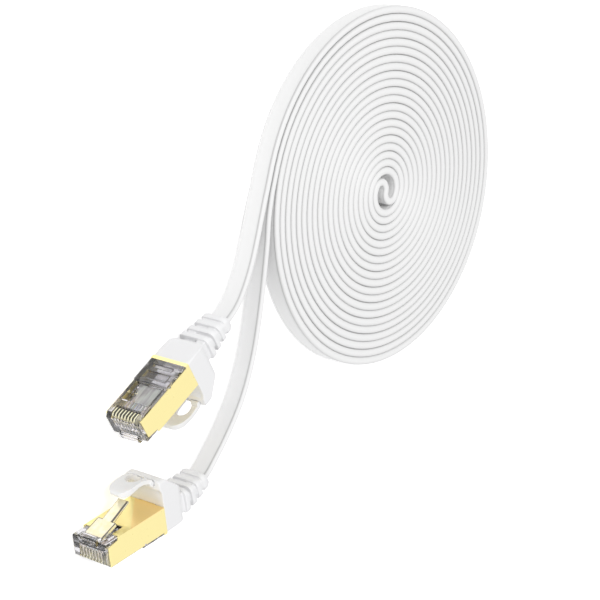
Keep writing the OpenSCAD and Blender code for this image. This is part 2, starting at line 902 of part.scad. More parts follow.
module plug_b_housing() { at_plug_b() housing(); }
module plug_b_latch() { at_plug_b() latch(); }
module plug_b_contacts() { at_plug_b() contacts(); }
module plug_b_load_bar() { at_plug_b() load_bar(); }
module plug_b_shield() { at_plug_b() shield(); }
module plug_b_wires_orange() { at_plug_b() wires_orange(); }
module plug_b_wires_green() { at_plug_b() wires_green(); }
module plug_b_wires_blue() { at_plug_b() wires_blue(); }
module plug_b_wires_brown() { at_plug_b() wires_brown(); }
module plug_b_pair_foils() { at_plug_b() pair_foils(); }
module plug_b_jacket_end() { at_plug_b() jacket_end(bend_b); }
module plug_b_inner_mould() { at_plug_b() inner_mould(); }
module plug_b_boot() { at_plug_b() boot(bend_b); }
module plug_b_latch_guard() { at_plug_b() latch_guard(); }

cable_coil();
cable_tail_a();
cable_tail_b();
plug_a_housing();
plug_a_latch();
plug_a_contacts();
plug_a_load_bar();
plug_a_shield();
plug_a_wires_orange();
plug_a_wires_green();
plug_a_wires_blue();
plug_a_wires_brown();
plug_a_pair_foils();
plug_a_jacket_end();
plug_a_inner_mould();
plug_a_boot();
plug_a_latch_guard();
plug_b_housing();
plug_b_latch();
plug_b_contacts();
plug_b_load_bar();
plug_b_shield();
plug_b_wires_orange();
plug_b_wires_green();
plug_b_wires_blue();
plug_b_wires_brown();
plug_b_pair_foils();
plug_b_jacket_end();
plug_b_inner_mould();
plug_b_boot();
plug_b_latch_guard();
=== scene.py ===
import math

import bpy
import numpy as np
from mathutils import Matrix, Vector


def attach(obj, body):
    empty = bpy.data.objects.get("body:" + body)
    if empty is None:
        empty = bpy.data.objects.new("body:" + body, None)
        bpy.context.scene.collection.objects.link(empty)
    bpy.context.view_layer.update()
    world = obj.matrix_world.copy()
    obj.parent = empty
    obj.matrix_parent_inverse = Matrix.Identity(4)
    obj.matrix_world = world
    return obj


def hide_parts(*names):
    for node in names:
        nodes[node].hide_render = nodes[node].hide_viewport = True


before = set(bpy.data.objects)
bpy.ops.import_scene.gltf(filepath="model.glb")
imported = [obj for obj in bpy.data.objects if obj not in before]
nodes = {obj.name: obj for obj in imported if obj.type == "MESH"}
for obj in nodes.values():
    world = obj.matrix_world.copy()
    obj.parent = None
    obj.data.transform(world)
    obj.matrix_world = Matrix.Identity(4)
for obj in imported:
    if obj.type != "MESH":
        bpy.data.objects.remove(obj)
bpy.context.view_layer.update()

# ---------------------------------------------------------------- camera
# A long lens, half a metre from the coil, looks down at it at 38 degrees from the side where both
# ends of the cable leave it. It is rolled, so that up from the surface is to the view's right.

view_axes = np.array([  # the view's right, down and ahead, row by row
    [0.6240, 0.1241, 0.7715],
    [-0.0294, -0.9829, 0.1819],
    [0.7809, -0.1362, -0.6096],
])
camera_place = (-0.4145, 0.0373, 0.3040)

camera_data = bpy.data.cameras.new("camera")
camera_data.sensor_width = 36.0
camera_data.lens = 111.15
camera_data.clip_start, camera_data.clip_end = 0.01, 20
camera = bpy.data.objects.new("camera", camera_data)
bpy.context.scene.collection.objects.link(camera)
camera_axes = view_axes * [[1], [-1], [-1]]  # Blender's cameras have y up and look back along z
turned_camera = Matrix(camera_axes.T.tolist()).to_4x4()
camera.matrix_world = Matrix.Translation(camera_place) @ turned_camera
bpy.context.scene.camera = camera

# ---------------------------------------------------------------- flat cable
# One flat cable from plug to plug, folded at its middle and wound double, standing on its edge.
# Its jacket is extruded white PVC with rounded edges. In the coil it is drawn fuller than it is,
# because the wound strands lie so close that hardly any dark shows between them.

cable_w, cable_t, packed_t = 0.0060, 0.00175, 0.00216
half_w, half_t = cable_w / 2, cable_t / 2
edge_r = 0.00065
wall = half_w - edge_r  # half the height of the flat side, between the rounded edges
groove_depth, groove_at, groove_half = 0.00006, 0.93, 0.04  # the last two as shares of the wall
wall_steps = (-1, -0.965, -0.93, -0.895, -0.86, -0.6, 0, 0.6, 0.86, 0.895, 0.93, 0.965)
edge_steps = 13  # points on each rounded edge

turn_pitch, turns_a, turns_b = 0.0022, 10.5, 10
eye_r = 0.00465
exit_angle = math.radians(173.4)
rings_per_turn = 88
pair_shift = 0.00003  # how far the outgoing strand is set out from an even spiral
swell_turns = 0.25  # the part of a turn in which a strand gets its full thickness
span_steps = 6  # rings between two points of a free end's route

# The painted shade on the upper shoulder: a grey line so far above the groove, how far it fades
# above and below, the painted shade of the flat side, and the line's faint strength, which grows
# from faint_x to full_x on either side of x = 0.
line_rise, line_above, line_below = 0.0002, 0.0004, 0.00025
painted_side_shade = 0.08
faint_line, faint_x, full_x = 0.55, 0.010, 0.040

# Where each plug lies: the middle of its nose in plan, the direction from there to its cable, the
# way its latch faces, and how far the boot's sleeve bends towards the latch.
plug_half_w = 0.00584
boot_end, sleeve_l = 0.0279, 0.0110
nose = {"a": np.array([-0.0936, -0.0590]), "b": np.array([-0.1014, -0.0883])}
back = {"a": math.radians(41), "b": math.radians(19.5)}
latch_side = {"a": 1, "b": -1}
bend = {"a": 0.0, "b": math.radians(20)}

# The points that each free end passes, in metres, from the coil to its boot.
route_a = np.array([
    [-51.7, -3, 3.08], [-52.6, -8, 3.35], [-53.7, -13, 3.8],
    [-55.2, -18.5, 4.35], [-57.4, -24, 5.0], [-60.4, -29.4, 5.6],
]) / 1000
route_b = np.array([
    [-49.2, -3, 3.02], [-49.3, -8, 3.1], [-48.9, -14, 3.25], [-48.8, -21, 3.45],
    [-48.9, -28, 3.7], [-49.3, -35, 4.0], [-50.2, -42, 4.4], [-51.8, -49, 4.8],
    [-54.2, -55.6, 5.2], [-57.6, -62, 5.55], [-61.6, -68.3, 5.8],
]) / 1000


def on_plug(end, x, y, z):
    """Points in a plug's own axes, as places in the frame: x runs from the nose to the cable,
    y across the contacts and z towards the latch."""
    c, s = math.cos(back[end]), math.sin(back[end])
    x, y, z = np.broadcast_arrays(x, y, z)
    return np.stack([
        nose[end][0] + x * c + latch_side[end] * z * s,
        nose[end][1] + x * s - latch_side[end] * z * c,
        plug_half_w + latch_side[end] * y,
    ], axis=-1)


def along_sleeve(end, t, y, z):
    """Points on the boot's sleeve: t runs from its root to its tip, and the middle line is an arc
    that turns by the sleeve's bend towards the latch."""
    if bend[end] == 0:
        return on_plug(end, boot_end + t, y, z)
    turned = bend[end] * t / sleeve_l
    radius = sleeve_l / bend[end]
    return on_plug(end, boot_end + (radius - z) * np.sin(turned), y,
                   radius - (radius - z) * np.cos(turned))


def coil_line():
    """Middle line of the coil in plan: one strand winds in by two pitches a turn, two half circles
    carry it through the middle, and the other strand winds out the same way round, set out by a
    hair that grows over its first radian."""
    angle = np.linspace(0, 2 * math.pi * turns_a, int(turns_a * rings_per_turn) + 1)
    radius = eye_r + 2 * turn_pitch * turns_a - turn_pitch * angle / math.pi
    turned = exit_angle - angle
    strand_a = radius[:, None] * np.stack([np.cos(turned), np.sin(turned)], 1)
    last = turned[-1]
    half = np.linspace(0, math.pi, rings_per_turn // 2 + 1)[1:, None]
    middle = eye_r / 2 * np.array([math.cos(last), math.sin(last)])
    bend_in = middle + eye_r / 2 * np.hstack([np.cos(last - half), np.sin(last - half)])
    bend_out = -middle + eye_r / 2 * np.hstack([np.cos(last + half), np.sin(last + half)])
    angle = np.linspace(0, 2 * math.pi * turns_b, int(turns_b * rings_per_turn) + 1)[1:]
    radius = eye_r + turn_pitch * angle / math.pi + pair_shift * np.minimum(angle, 1)
    first = last + math.pi
    strand_b = radius[:, None] * np.stack([np.cos(first + angle), np.sin(first + angle)], 1)
    return np.vstack([strand_a, bend_in, bend_out, strand_b])


def smooth_line(points, first, last):
    """A curve through points: between two of them it is the cubic that leaves each one parallel to
    the line joining its neighbours."""
    slope = np.gradient(points, axis=0)
    slope[0] = first * np.linalg.norm(points[1] - points[0])
    slope[-1] = last * np.linalg.norm(points[-1] - points[-2])
    t = np.linspace(0, 1, span_steps, endpoint=False)[None, :, None]
    p, q, m, n = points[:-1, None], points[1:, None], slope[:-1, None], slope[1:, None]
    curve = ((2 * t**3 - 3 * t**2 + 1) * p + (t**3 - 2 * t**2 + t) * m
             + (3 * t**2 - 2 * t**3) * q + (t**3 - t**2) * n)
    return np.vstack([curve.reshape(-1, 3), points[-1:]])


def free_stretch(end, start, route):
    """The cable from the coil's straight end, through the route's points and into the sleeve of
    the boot."""
    finish = along_sleeve(end, sleeve_l, 0, 0)
    just_outside = along_sleeve(end, sleeve_l * 1.01, 0, 0)
    into = (finish - just_outside) / np.linalg.norm(finish - just_outside)
    return smooth_line(np.vstack([start, route, finish]), exit_heading, into)


def flat_section():
    """Outline of the flat cable: two straight sides joined by round edges, each a half circle
    drawn out to its radius. A fine groove, the bell curve of its distance from the edge, runs
    along each side just below the round."""
    up = wall * np.array(wall_steps)
    off_groove = (np.abs(up) - groove_at * wall) / (groove_half * wall)
    groove = groove_depth * np.exp(-off_groove ** 2)
    angle = np.linspace(0, math.pi, edge_steps)
    flat = np.stack([half_t - groove, up], 1)
    edge = np.stack([half_t * np.cos(angle), wall + edge_r * np.sin(angle)], 1)
    half = np.vstack([flat, edge[:-1]])
    return np.vstack([half, -half])


def shoulder_shade(section):
    """How much painted shade each point of the section gets, from 0 to 1: a bell curve of its
    distance round the skin from a line just above the upper groove, narrower below that line than
    above it, plus a slow rise up the flat side."""
    height = section[:, 1]
    lean = np.arcsin(np.clip((height - wall) / edge_r, 0, 1))
    on_round = (1 - groove_at) * wall + edge_r * lean
    away = np.where(height > wall, on_round, height - groove_at * wall) - line_rise
    line = np.exp(-(away / np.where(away > 0, line_above, line_below)) ** 2)
    rise = painted_side_shade * (1 + height / half_w) * np.abs(section[:, 0]) / half_t
    return np.clip(line + rise, 0, 1)


def tube_mesh(name, rings):
    """A closed skin over rings of points: each four neighbours are a face, the last point of a ring
    joins its first, and the first and last rings are closed by a face each."""
    number = np.arange(rings.shape[0] * rings.shape[1]).reshape(rings.shape[:2])
    after = np.roll(number, -1, 1)
    faces = np.stack([number[:-1], after[:-1], after[1:], number[1:]], -1).reshape(-1, 4).tolist()
    faces += [number[0, ::-1].tolist(), number[-1].tolist()]
    mesh = bpy.data.meshes.new(name)
    mesh.from_pydata(rings.reshape(-1, 3).tolist(), [], faces)
    mesh.shade_smooth()
    piece = bpy.data.objects.new(name, mesh)
    bpy.context.scene.collection.objects.link(piece)
    return piece


coil_plan = coil_line()
exit_heading = np.array([-math.sin(exit_angle), math.cos(exit_angle), 0])
straight = cable_w * exit_heading[:2]
start_a, start_b = (np.append(p + straight, half_w) for p in (coil_plan[0], coil_plan[-1]))
tail_a = free_stretch("a", start_a, route_a)
tail_b = free_stretch("b", start_b, route_b)
coil_3d = np.column_stack([coil_plan, np.full(len(coil_plan), half_w)])
cable_line = np.vstack([tail_a[::-1], coil_3d, tail_b])

heading = np.gradient(cable_line, axis=0)[:, :2]
heading /= np.linalg.norm(heading, axis=1)[:, None]
across = np.column_stack([heading[:, 1], -heading[:, 0]])
ring = np.arange(len(cable_line))
rings_in = np.minimum(ring - len(tail_a), len(cable_line) - len(tail_b) - ring)
in_coil = np.clip(rings_in / (swell_turns * rings_per_turn), 0, 1)
swell = 1 + (packed_t / cable_t - 1) * in_coil
section = flat_section()
sideways = swell[:, None] * section[None, :, 0]
skin = np.empty((len(cable_line), len(section), 3))
skin[..., :2] = cable_line[:, None, :2] + sideways[..., None] * across[:, None]
skin[..., 2] = cable_line[:, None, 2] + section[None, :, 1]
cable = tube_mesh("cable", skin)

# The painted shade along the shoulder, point by point. It is fainter near x = 0, at the top and
# bottom of the view, and full on the rest.
from_middle = np.clip((np.abs(cable_line[:, 0]) - faint_x) / (full_x - faint_x), 0, 1)
painted_line_strength = faint_line + (1 - faint_line) * from_middle
cable.data.attributes.new("shoulder", "FLOAT", "POINT").data.foreach_set(
    "value", np.outer(painted_line_strength, shoulder_shade(section)).ravel().astype(np.float32))


def linear(code):
    """An sRGB hex colour as the linear red, green, blue and alpha that a shader works in."""
    c = np.array([int(code[i:i + 2], 16) for i in (1, 3, 5)]) / 255
    return (*np.where(c <= 0.04045, c / 12.92, ((c + 0.055) / 1.055) ** 2.4), 1.0)


def add_node(material, kind, inputs=None, stops=(), **settings):
    """Adds a node of that kind to a material and sets its properties. Each input, by name or
    number, gets its value, or is linked where the value is a socket or another node, which then
    gives its first output. A ramp's stops are positions with sRGB colours."""
    tree = material.node_tree
    node = tree.nodes.new(kind)
    for key, value in settings.items():
        setattr(node, key, value)
    for key, value in (inputs or {}).items():
        if isinstance(value, bpy.types.Node):
            value = value.outputs[0]
        if isinstance(value, bpy.types.NodeSocket):
            tree.links.new(value, node.inputs[key])
        else:
            node.inputs[key].default_value = value
    for number, (position, code) in enumerate(stops):
        if number == len(node.color_ramp.elements):
            node.color_ramp.elements.new(position)
        element = node.color_ramp.elements[number]
        element.position, element.color = position, linear(code)
    return node


def new_material(name, **sockets):
    """A material with one Principled shader, whose sockets are given by name, with an underscore
    for a space."""
    material = bpy.data.materials.new(name)
    material.use_nodes = True
    material.node_tree.nodes.clear()
    shader = add_node(material, "ShaderNodeBsdfPrincipled",
                      {key.replace("_", " "): value for key, value in sockets.items()})
    add_node(material, "ShaderNodeOutputMaterial", {"Surface": shader})
    return material, shader


def vary(material, shader, socket, node, output=0):
    """Links a node's output, which varies over the surface, to one of the shader's sockets."""
    material.node_tree.links.new(node.outputs[output], shader.inputs[socket])


def fine_bump(material, shader, size, depth):
    """A shallow grain on a moulded skin: noise whose grains are size metres wide and depth deep.
    The real grain is finer, and is drawn coarse enough to show."""
    where = add_node(material, "ShaderNodeTexCoord").outputs["Object"]
    grain = add_node(material, "ShaderNodeTexNoise",
                     {"Vector": where, "Scale": 1 / size, "Detail": 3.0})
    vary(material, shader, "Normal", add_node(material, "ShaderNodeBump", {
        "Height": grain, "Strength": 0.5, "Distance": depth}))


# Extruded PVC: an even white with a satin skin, and painted shade along its shoulder.
jacket_pvc, shader = new_material("extruded_satin_white_pvc", Roughness=0.42, IOR=1.5)
shoulder = add_node(jacket_pvc, "ShaderNodeAttribute", attribute_name="shoulder")
vary(jacket_pvc, shader, "Base Color", add_node(
    jacket_pvc, "ShaderNodeValToRGB", {"Fac": shoulder.outputs["Fac"]},
    stops=[(0.0, "#F3F3F3"), (1.0, "#C6C6C6")]))
fine_bump(jacket_pvc, shader, size=0.0007, depth=0.00002)
cable.data.materials.append(jacket_pvc)

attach(cable, "cable_assembly")
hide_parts("cable_coil", "cable_tail_a", "cable_tail_b")

# ---------------------------------------------------------------- boots
# Each boot is white TPE moulded over the crimped end of the cable: a block that grips the plug,
# and a sleeve of ribs with gaps on alternate sides, which lets the cable bend without a kink.

# The hood's front gets a painted cool tint, which grows between hood_low and hood_high.
hood_front = (0.0203, 0, 0.0070), (0.0003, 0.0048, 0.0030)  # a box: its middle and its reach
hood_low, hood_high = 0.0045, 0.0085  # heights between which its front turns cooler


def dress(node, *materials):
    """Gives a CAD node its materials."""
    node.data.materials.clear()
    for material in materials:
        node.data.materials.append(material)


def soften(node, grain, rounds):
    """Rounds a moulded piece all over: its skin is laid again in squares of one grain, and each
    point then moves half way to the middle of its neighbours, as many times as there are rounds."""
    node.modifiers.new("join", "WELD").merge_threshold = 1e-6
    skin = node.modifiers.new("skin", "REMESH")
    skin.mode, skin.voxel_size, skin.use_smooth_shade = "VOXEL", grain, True
    relax = node.modifiers.new("relax", "SMOOTH")
    relax.factor, relax.iterations = 0.5, rounds


def plug_axes(material, end):
    """The shader's place on the piece in the plug's own axes, in metres: along it from the nose,
    across the contacts, and up to the latch. It is the place in the frame, turned and moved."""
    c, s = math.cos(back[end]), math.sin(back[end])
    facing = latch_side[end]
    turned = np.array([[c, s, 0], [0, 0, facing], [facing * s, -facing * c, 0]])
    moved = -turned @ np.array([*nose[end], plug_half_w])
    place = add_node(material, "ShaderNodeTexCoord").outputs["Object"]
    return add_node(material, "ShaderNodeMapping", {
        "Vector": place, "Location": tuple(moved),
        "Rotation": tuple(Matrix(turned.tolist()).to_euler("XYZ"))})


def inside_box(material, axes, middle, reach):
    """1 where the place is no further from the middle than the reach along each axis, else 0."""
    inside = 1.0
    for axis, centre, far in zip(axes.outputs, middle, reach):
        near = add_node(material, "ShaderNodeMath", {0: axis, 1: centre, 2: far},
                        operation="COMPARE")
        inside = add_node(material, "ShaderNodeMath", {0: near, 1: inside}, operation="MULTIPLY")
    return inside


for end in "ab":
    # Moulded TPE: a soft white with a dull sheen. The hood's front is painted slightly cooler
    # towards its top, a painted tint against the warm light that the gold throws on it.
    boot_tpe, shader = new_material(f"moulded_white_tpe_{end}", Roughness=0.5, IOR=1.48)
    fine_bump(boot_tpe, shader, size=0.0004, depth=0.00001)
    axes = add_node(boot_tpe, "ShaderNodeSeparateXYZ", {"Vector": plug_axes(boot_tpe, end)})
    height = add_node(boot_tpe, "ShaderNodeMapRange", {
        "Value": axes.outputs["Z"], "From Min": hood_low, "From Max": hood_high})
    painted_cool_tint = add_node(boot_tpe, "ShaderNodeMath", {
        0: inside_box(boot_tpe, axes, *hood_front), 1: height}, operation="MULTIPLY")
    vary(boot_tpe, shader, "Base Color", add_node(
        boot_tpe, "ShaderNodeValToRGB", {"Fac": painted_cool_tint}, stops=[(0.0, "#EDEDEE"), (1.0, "#E9EEFA")]))
    boot = nodes[f"plug_{end}_boot"]
    soften(boot, grain=0.00014, rounds=7)
    dress(boot, boot_tpe)

# ---------------------------------------------------------------- latch guards
# The guard is a bowed tongue of the same TPE with a thumb pad and an oval opening. It keeps the
# latch from snagging, and its neck bends where it meets the boot's hood.

opening_x, dish_x_radius, dish_y_radius = 0.0175, 0.0027, 0.0023
for end in "ab":
    # Thin TPE: light goes a little way in, so its edges glow. The dish round the opening has
    # painted shade, grey where the bow shuts the light off. The distance is 1 on the dish's
    # ellipse.
    guard_tpe, shader = new_material(
        f"moulded_white_tpe_thin_{end}", Roughness=0.45, IOR=1.48, Subsurface_Weight=0.2,
        Subsurface_Radius=(0.001, 0.0009, 0.0008), Subsurface_Scale=0.6)
    fine_bump(guard_tpe, shader, size=0.0004, depth=0.00001)
    from_opening = add_node(guard_tpe, "ShaderNodeMapping", {
        "Vector": plug_axes(guard_tpe, end), "Location": (-opening_x / dish_x_radius, 0, 0),
        "Scale": (1 / dish_x_radius, 1 / dish_y_radius, 0)})
    dish_shade_distance = add_node(guard_tpe, "ShaderNodeVectorMath", {0: from_opening}, operation="LENGTH")
    vary(guard_tpe, shader, "Base Color", add_node(
        guard_tpe, "ShaderNodeValToRGB", {"Fac": dish_shade_distance.outputs["Value"]},
        stops=[(0.75, "#CBC8C5"), (1.0, "#EAEAEA")]))
    guard = nodes[f"plug_{end}_latch_guard"]
    soften(guard, grain=0.00009, rounds=8)
    dress(guard, guard_tpe)

# ---------------------------------------------------------------- shields
# The shield is one sheet of brass, folded round the housing and flash plated with gold. Its bends
# are soft, and the plate is bright with a faint haze from the tumbling barrel.

# Where the painted amber shade starts and is full along the plug, and how its line slants across.
amber_start, amber_full, amber_slant = 0.0150, 0.0160, -1.2
latch_face = 0.00315
haze_per_metre = 900.0  # patches of about a millimetre, coarser than real ones so that they show
brightest, haziest = 0.24, 0.36


def ease_edges(node, width):
    """Rounds the edges of a folded, stamped or hard moulded piece by a width, in two steps, where
    its faces turn by more than 0.6 radians."""
    node.modifiers.new("join", "WELD").merge_threshold = 1e-6
    edge = node.modifiers.new("edge", "BEVEL")
    edge.width, edge.segments, edge.limit_method, edge.angle_limit = width, 2, "ANGLE", 0.6
    edge.harden_normals = True


for end in "ab":
    # Gold plate: a pale, warm metal with soft reflections. On the latch face it has painted shade
    # and
    # reflection: it deepens to amber near the boot, where hood and gold light each other. The amber
    # starts along a slanted line.
    gold_plate, shader = new_material(f"gold_flashed_brass_{end}", Metallic=0.8, Roughness=0.3)
    place = plug_axes(gold_plate, end)
    axes = add_node(gold_plate, "ShaderNodeSeparateXYZ", {"Vector": place})
    slanted = add_node(gold_plate, "ShaderNodeMath", {
        0: axes.outputs["Y"], 1: amber_slant, 2: axes.outputs["X"]}, operation="MULTIPLY_ADD")
    under_hood_shade = add_node(gold_plate, "ShaderNodeMapRange", {
        "Value": slanted, "From Min": amber_start, "From Max": amber_full},
        interpolation_type="SMOOTHSTEP")
    on_face = add_node(gold_plate, "ShaderNodeMath", {0: axes.outputs["Z"], 1: latch_face},
                       operation="GREATER_THAN")
    painted_amber_shade = add_node(gold_plate, "ShaderNodeMath", {0: under_hood_shade, 1: on_face},
                     operation="MULTIPLY")
    vary(gold_plate, shader, "Base Color", add_node(
        gold_plate, "ShaderNodeValToRGB", {"Fac": painted_amber_shade},
        stops=[(0.0, "#FDEFAC"), (1.0, "#FFE29E")]))
    haze = add_node(gold_plate, "ShaderNodeTexNoise", {
        "Vector": place, "Scale": haze_per_metre, "Detail": 4.0})
    vary(gold_plate, shader, "Roughness", add_node(
        gold_plate, "ShaderNodeMapRange", {"Value": haze, "To Min": brightest, "To Max": haziest}))
    shield = nodes[f"plug_{end}_shield"]
    ease_edges(shield, width=0.00008)
    dress(shield, gold_plate)

# ---------------------------------------------------------------- housings
# The housing is one shot of clear polycarbonate, polished by its mould. Its slots, windows and
# walls bend the light so much that it looks grey and mottled, with dark lines along its edges.

# Boxes in the plug's axes, each by its middle and its reach, and other places along those axes.
ribs = (0.0016, 0, -0.00345), (0.0019, 0.0041, 0.00035)
rear_window = (0.0174, 0, -0.0036), (0.0008, 0.0034, 0.0003)
pocket_floor = (0.0087, 0, -0.0025), (0.0031, 0.0045, 0.0001)
step_start, step_end = 0.0118, 0.0122
wall_start, wall_end = 0.0043, 0.0045
fan_slope, fan_offset = 0.51, 0.00192
polished, hazy_behind_step, hazy_walls, extra_in_window = 0.02, 0.14, 0.12, 0.3
drift_per_metre, ripple_per_metre, bands_per_metre = 500.0, 1500.0, 1100.0  # 2, 0.7 and 0.9 mm
ripple_stretch, band_stretch = (0.4, 1.0, 1.0), (0.12, 1.0, 1.0)
clearness_of_milk = 0.55


def clear_moulding(name, end, tints, **sockets):
    """Clear plastic: its tint drifts with slow noise, and its skin is faintly rippled by the flow
    in the mould, along the plug. The ripples are drawn coarser than real ones so that they show.
    It gives back the material, its shader, the place in the plug's axes and the tint."""
    material, shader = new_material(f"{name}_{end}", IOR=1.585, **sockets)
    place = plug_axes(material, end)
    drift = add_node(material, "ShaderNodeTexNoise", {
        "Vector": place, "Scale": drift_per_metre, "Detail": 2.0})
    tint = add_node(material, "ShaderNodeValToRGB", {"Fac": drift}, stops=tints)
    vary(material, shader, "Base Color", tint)
    flow = add_node(material, "ShaderNodeMapping", {"Vector": place, "Scale": ripple_stretch})
    ripple = add_node(material, "ShaderNodeTexNoise", {
        "Vector": flow, "Scale": ripple_per_metre, "Detail": 2.0})
    vary(material, shader, "Normal", add_node(material, "ShaderNodeBump", {
        "Height": ripple, "Strength": 0.4, "Distance": 0.00002}))
    return material, shader, place, tint


for end in "ab":
    # Polished polycarbonate: clear and sharp, with a cool tint.
    clear, shader, place, tint = clear_moulding(
        "clear_polycarbonate", end, [(0.35, "#F1EEF4"), (0.65, "#FCFBFD")],
        Roughness=polished, Transmission_Weight=1.0)
    axes = add_node(clear, "ShaderNodeSeparateXYZ", {"Vector": place})

    # The ribs between the blades have painted shade: they are tinted dark, as they look dark
    # because light that enters them is trapped.
    ribs_painted_dark = add_node(clear, "ShaderNodeMix", {
        0: inside_box(clear, axes, *ribs), "A": tint, "B": linear("#4A4744")}, data_type="RGBA")

    # Behind the step, at the side walls and most of all in the rear window, the skin is hazy.
    behind_step = add_node(clear, "ShaderNodeMapRange", {
        "Value": axes.outputs["X"], "From Min": step_start, "From Max": step_end,
        "To Min": polished, "To Max": hazy_behind_step})
    off_middle = add_node(clear, "ShaderNodeMath", {0: axes.outputs["Y"]}, operation="ABSOLUTE")
    at_walls = add_node(clear, "ShaderNodeMapRange", {
        "Value": off_middle, "From Min": wall_start, "From Max": wall_end,
        "To Min": polished, "To Max": hazy_walls})
    haze = add_node(clear, "ShaderNodeMath", {0: behind_step, 1: at_walls}, operation="MAXIMUM")
    vary(clear, shader, "Roughness", add_node(clear, "ShaderNodeMath", {
        0: inside_box(clear, axes, *rear_window), 1: extra_in_window, 2: haze},
        operation="MULTIPLY_ADD"))

    # The pocket's floor is milky, banded along the plug by the wires under it, and ends at a
    # slanted line. The bands are noise drawn out eight times.
    fan = add_node(clear, "ShaderNodeMath", {
        0: axes.outputs["X"], 1: fan_slope, 2: axes.outputs["Y"]}, operation="MULTIPLY_ADD")
    in_fan = add_node(clear, "ShaderNodeMath", {0: fan, 1: fan_offset}, operation="GREATER_THAN")
    milky = add_node(clear, "ShaderNodeMath", {
        0: in_fan, 1: inside_box(clear, axes, *pocket_floor)}, operation="MULTIPLY")
    vary(clear, shader, "Transmission Weight", add_node(
        clear, "ShaderNodeMapRange", {"Value": milky, "To Min": 1.0, "To Max": clearness_of_milk}))
    drawn_out = add_node(clear, "ShaderNodeMapping", {"Vector": place, "Scale": band_stretch})
    bands = add_node(clear, "ShaderNodeTexNoise", {"Vector": drawn_out, "Scale": bands_per_metre})
    banded = add_node(clear, "ShaderNodeValToRGB", {"Fac": bands}, stops=[
        (0.36, "#A79EA5"), (0.5, "#CFCDCC"), (0.62, "#EEF2EC")])
    floored = add_node(clear, "ShaderNodeMix", {
        0: milky, "A": ribs_painted_dark.outputs["Result"], "B": banded}, data_type="RGBA")
    vary(clear, shader, "Base Color", floored, "Result")

    housing = nodes[f"plug_{end}_housing"]
    ease_edges(housing, width=0.00006)
    dress(housing, clear)

# ---------------------------------------------------------------- contacts
# Eight blades stamped from phosphor bronze and plated with gold stand in the slots at the nose.
# The jack's springs polish their crowns. They are drawn fuller than they are, so that they show.

streaks_per_metre = 4000.0  # 0.25 mm wide, coarser than real wear so that they show
streak_stretch = (0.3, 1.0, 1.0)
fuller = 0.00014  # how far each face stands out past the real one
for end in "ab":
    # Thin gold over bronze: pale, bright bars, with streaks of wear along the plug.
    blade_gold, shader = new_material(f"gold_plated_bronze_{end}", Metallic=0.2, Roughness=0.25)
    streak = add_node(blade_gold, "ShaderNodeMapping", {
        "Vector": plug_axes(blade_gold, end), "Scale": streak_stretch})
    wear = add_node(blade_gold, "ShaderNodeTexNoise", {
        "Vector": streak, "Scale": streaks_per_metre, "Detail": 3.0})
    vary(blade_gold, shader, "Base Color", add_node(
        blade_gold, "ShaderNodeValToRGB", {"Fac": wear},
        stops=[(0.35, "#FFF7C8"), (0.65, "#FFFEE6")]))
    blades = nodes[f"plug_{end}_contacts"]
    ease_edges(blades, width=0.00004)
    plate = blades.modifiers.new("plate", "DISPLACE")
    plate.strength, plate.mid_level = fuller, 0.0
    dress(blades, blade_gold)

# ---------------------------------------------------------------- latches
# The latch is part of the real housing, the same polycarbonate but thin and clear. It springs up
# from the nose, with two shoulders that lock it in the jack and a narrow handle to press it by.

# Polycarbonate seen edge on: it sends light along its inside and away, so its edges look dark,
# which is painted here as a dark shade on the bevels.
latch_edge_painted_dark, shader = new_material(
    "polycarbonate_edge_painted_dark", Base_Color=linear("#5F5C57"), Roughness=0.2, IOR=1.585)
fine_bump(latch_edge_painted_dark, shader, size=0.0004, depth=0.00001)
for end in "ab":
    # Thin polycarbonate: a painted cream tint for the gold seen through it from below, and partly
    # metallic, because its two faces together mirror the white room more than one face would.
    thin_clear, *_ = clear_moulding(
        "thin_clear_polycarbonate", end, [(0.35, "#FFF3C8"), (0.65, "#FFFCE8")],
        Roughness=0.1, Metallic=0.35, Transmission_Weight=0.15)
    latch = nodes[f"plug_{end}_latch"]
    ease_edges(latch, width=0.0003)
    latch.modifiers["edge"].material = 1
    latch.modifiers["edge"].use_clamp_overlap = False
    dress(latch, thin_clear, latch_edge_painted_dark)

# ---------------------------------------------------------------- wires
# Inside each plug the four pairs fan out to the blades. Each wire is copper in a skin of extruded
# polyethylene, and one wire of each pair is pale, so that a pair looks like a light tint.

wire_tints = {
    "orange": [(0.4, "#F2DFCE"), (0.6, "#FBF3EC")], "green": [(0.4, "#DCEBE0"), (0.6, "#F2F8F3")],
    "blue": [(0.4, "#DCE4F1"), (0.6, "#F1F5FA")], "brown": [(0.4, "#E8DDD5"), (0.6, "#F6F0EC")],
}
patches_per_metre = 1200.0  # 0.8 mm, about a wire's own width
for pair, tints in wire_tints.items():
    # Extruded polyethylene: a waxy half gloss, with tint and white in patches.
    wire_pe, shader = new_material(f"polyethylene_{pair}", Roughness=0.4)
    patches = add_node(wire_pe, "ShaderNodeTexNoise", {
        "Vector": add_node(wire_pe, "ShaderNodeTexCoord").outputs["Object"],
        "Scale": patches_per_metre})
    vary(wire_pe, shader, "Base Color",
         add_node(wire_pe, "ShaderNodeValToRGB", {"Fac": patches}, stops=tints))
    for end in "ab":
        dress(nodes[f"plug_{end}_wires_{pair}"], wire_pe)

# ---------------------------------------------------------------- pair foils
# Each pair comes out of its own wrap of thin rolled aluminium foil, which is cut back when the plug
# is put on. It looks like a bright grey mirror, broken up by its creases.

foil, shader = new_material(
    "crinkled_aluminium_foil", Base_Color=linear("#DCDCDE"), Metallic=1.0, Roughness=0.3)
fine_bump(foil, shader, size=0.0006, depth=0.00006)
for end in "ab":
    dress(nodes[f"plug_{end}_pair_foils"], foil)

# ---------------------------------------------------------------- load bars
# The load bar is a small clear polycarbonate block with a hole for each wire. It slides into the
# housing with the wires in it, and looks as clear and colourless as glass.

